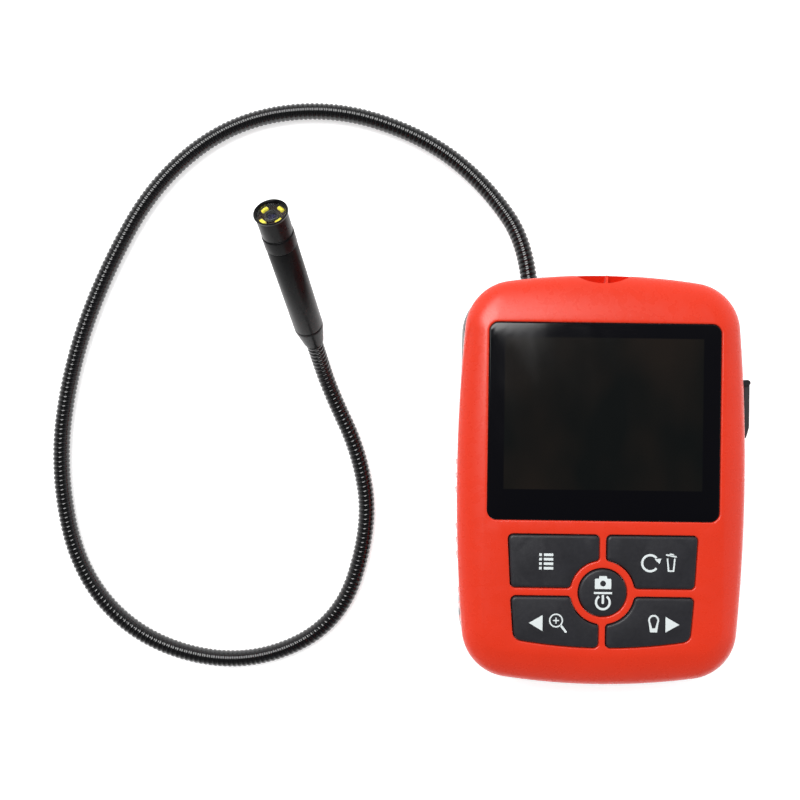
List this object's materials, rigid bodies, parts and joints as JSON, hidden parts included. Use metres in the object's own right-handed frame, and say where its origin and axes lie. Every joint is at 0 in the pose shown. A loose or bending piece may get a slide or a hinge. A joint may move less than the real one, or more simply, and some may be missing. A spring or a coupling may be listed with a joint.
{
  "type": "inspection camera",
  "caption": "Hand-held inspection camera: a pocket display handset with key pad and a semi-rigid gooseneck that carries a small lit camera head.",
  "frame": {"origin": "centre of the handset's footprint, on the surface that the handset lies on with its screen up", "axes": "+X to the right of the screen, +Y to the end where the gooseneck leaves, +Z out of the screen"},
  "size_m": [0.2036, 0.1722, 0.0582],
  "materials": {
    "red_shell": "red-orange ABS with a fine spark-eroded texture",
    "black_shell": "black ABS, fine texture",
    "window_glass": "smoked clear acrylic with a black printed border, polished",
    "tape_foam": "black foam tape",
    "steel": "plated steel",
    "lcd_glass": "dark LCD cell with polariser",
    "white_plastic": "white moulded plastic",
    "black_plastic": "black moulded nylon",
    "flex_film": "amber polyimide film",
    "board_green": "green solder mask on glass-epoxy",
    "chip_black": "moulded epoxy",
    "port_rubber": "dark grey rubber-like elastomer",
    "black_rubber": "black rubber",
    "key_rubber": "charcoal soft-touch keys with white printed symbols",
    "cable_jacket": "glossy black ribbed jacket over a bendable steel core",
    "head_metal": "black anodised, satin",
    "head_glass": "clear polished window",
    "lens_glass": "coated lens, dark violet reflection",
    "led_phosphor": "yellow phosphor over white LED chips",
    "spring_nickel": "nickel-plated spring steel",
    "cell_wrap": "plain printed film over a steel can"
  },
  "bodies": {
    "handset": {"front_shell": "red_shell", "rear_shell": "black_shell", "display_window": "window_glass", "window_tape": "tape_foam", "display_gasket": "tape_foam", "lcd_frame": "steel", "lcd_glass": "lcd_glass", "lcd_backlight": "white_plastic", "lcd_carrier": "black_plastic", "lcd_ribbon": "flex_film", "lcd_connector": "white_plastic", "main_board": "board_green", "board_chips": "chip_black", "key_switches": "steel", "usb_socket": "steel", "card_socket": "steel", "camera_connector": "white_plastic", "camera_lead": "cable_jacket", "port_cover_pin": "steel", "battery_1": "cell_wrap", "battery_2": "cell_wrap", "battery_3": "cell_wrap", "battery_4": "cell_wrap", "battery_springs": "spring_nickel", "battery_contacts": "spring_nickel", "case_screws": "steel", "board_screws": "steel", "cable_grommet": "black_rubber", "cable_clamp": "black_plastic", "clamp_screws": "steel", "gooseneck": "cable_jacket", "head_ferrule": "head_metal", "head_barrel": "head_metal", "head_cap": "head_metal", "head_seal_ring": "black_rubber", "head_window": "head_glass", "led_board": "board_green", "head_leds": "led_phosphor", "lens_barrel": "black_plastic", "lens_glass": "lens_glass", "sensor_board": "board_green", "image_sensor": "chip_black", "head_wires": "cable_jacket"},
    "menu_button": {"menu_key": "key_rubber", "menu_plunger": "black_plastic"},
    "rotate_delete_button": {"rotate_delete_key": "key_rubber", "rotate_delete_plunger": "black_plastic"},
    "zoom_button": {"zoom_key": "key_rubber", "zoom_plunger": "black_plastic"},
    "light_button": {"light_key": "key_rubber", "light_plunger": "black_plastic"},
    "power_button": {"power_key": "key_rubber", "power_plunger": "black_plastic"},
    "port_flap": {"port_cover": "port_rubber"},
    "door": {"battery_door": "black_shell"}
  },
  "joints": [
    {"name": "menu_press", "type": "slide", "parent": "handset", "child": "menu_button", "axis": [0, 0, -1], "range_m": [0, 0.0005], "stiffness_N_per_m": 1500, "springref_m": -0.0003},
    {"name": "rotate_delete_press", "type": "slide", "parent": "handset", "child": "rotate_delete_button", "axis": [0, 0, -1], "range_m": [0, 0.0005], "stiffness_N_per_m": 1500, "springref_m": -0.0003},
    {"name": "zoom_press", "type": "slide", "parent": "handset", "child": "zoom_button", "axis": [0, 0, -1], "range_m": [0, 0.0005], "stiffness_N_per_m": 1500, "springref_m": -0.0003},
    {"name": "light_press", "type": "slide", "parent": "handset", "child": "light_button", "axis": [0, 0, -1], "range_m": [0, 0.0005], "stiffness_N_per_m": 1500, "springref_m": -0.0003},
    {"name": "power_press", "type": "slide", "parent": "handset", "child": "power_button", "axis": [0, 0, -1], "range_m": [0, 0.0005], "stiffness_N_per_m": 1500, "springref_m": -0.0003},
    {"name": "port_cover_swing", "type": "hinge", "parent": "handset", "child": "port_flap", "pos_m": [0.0413, 0.0276, 0.0218], "axis": [0, 0, 1], "range_deg": [0, 100]},
    {"name": "battery_door_slide", "type": "slide", "parent": "handset", "child": "door", "axis": [0, -1, 0], "range_m": [0, 0.056]}
  ]
}
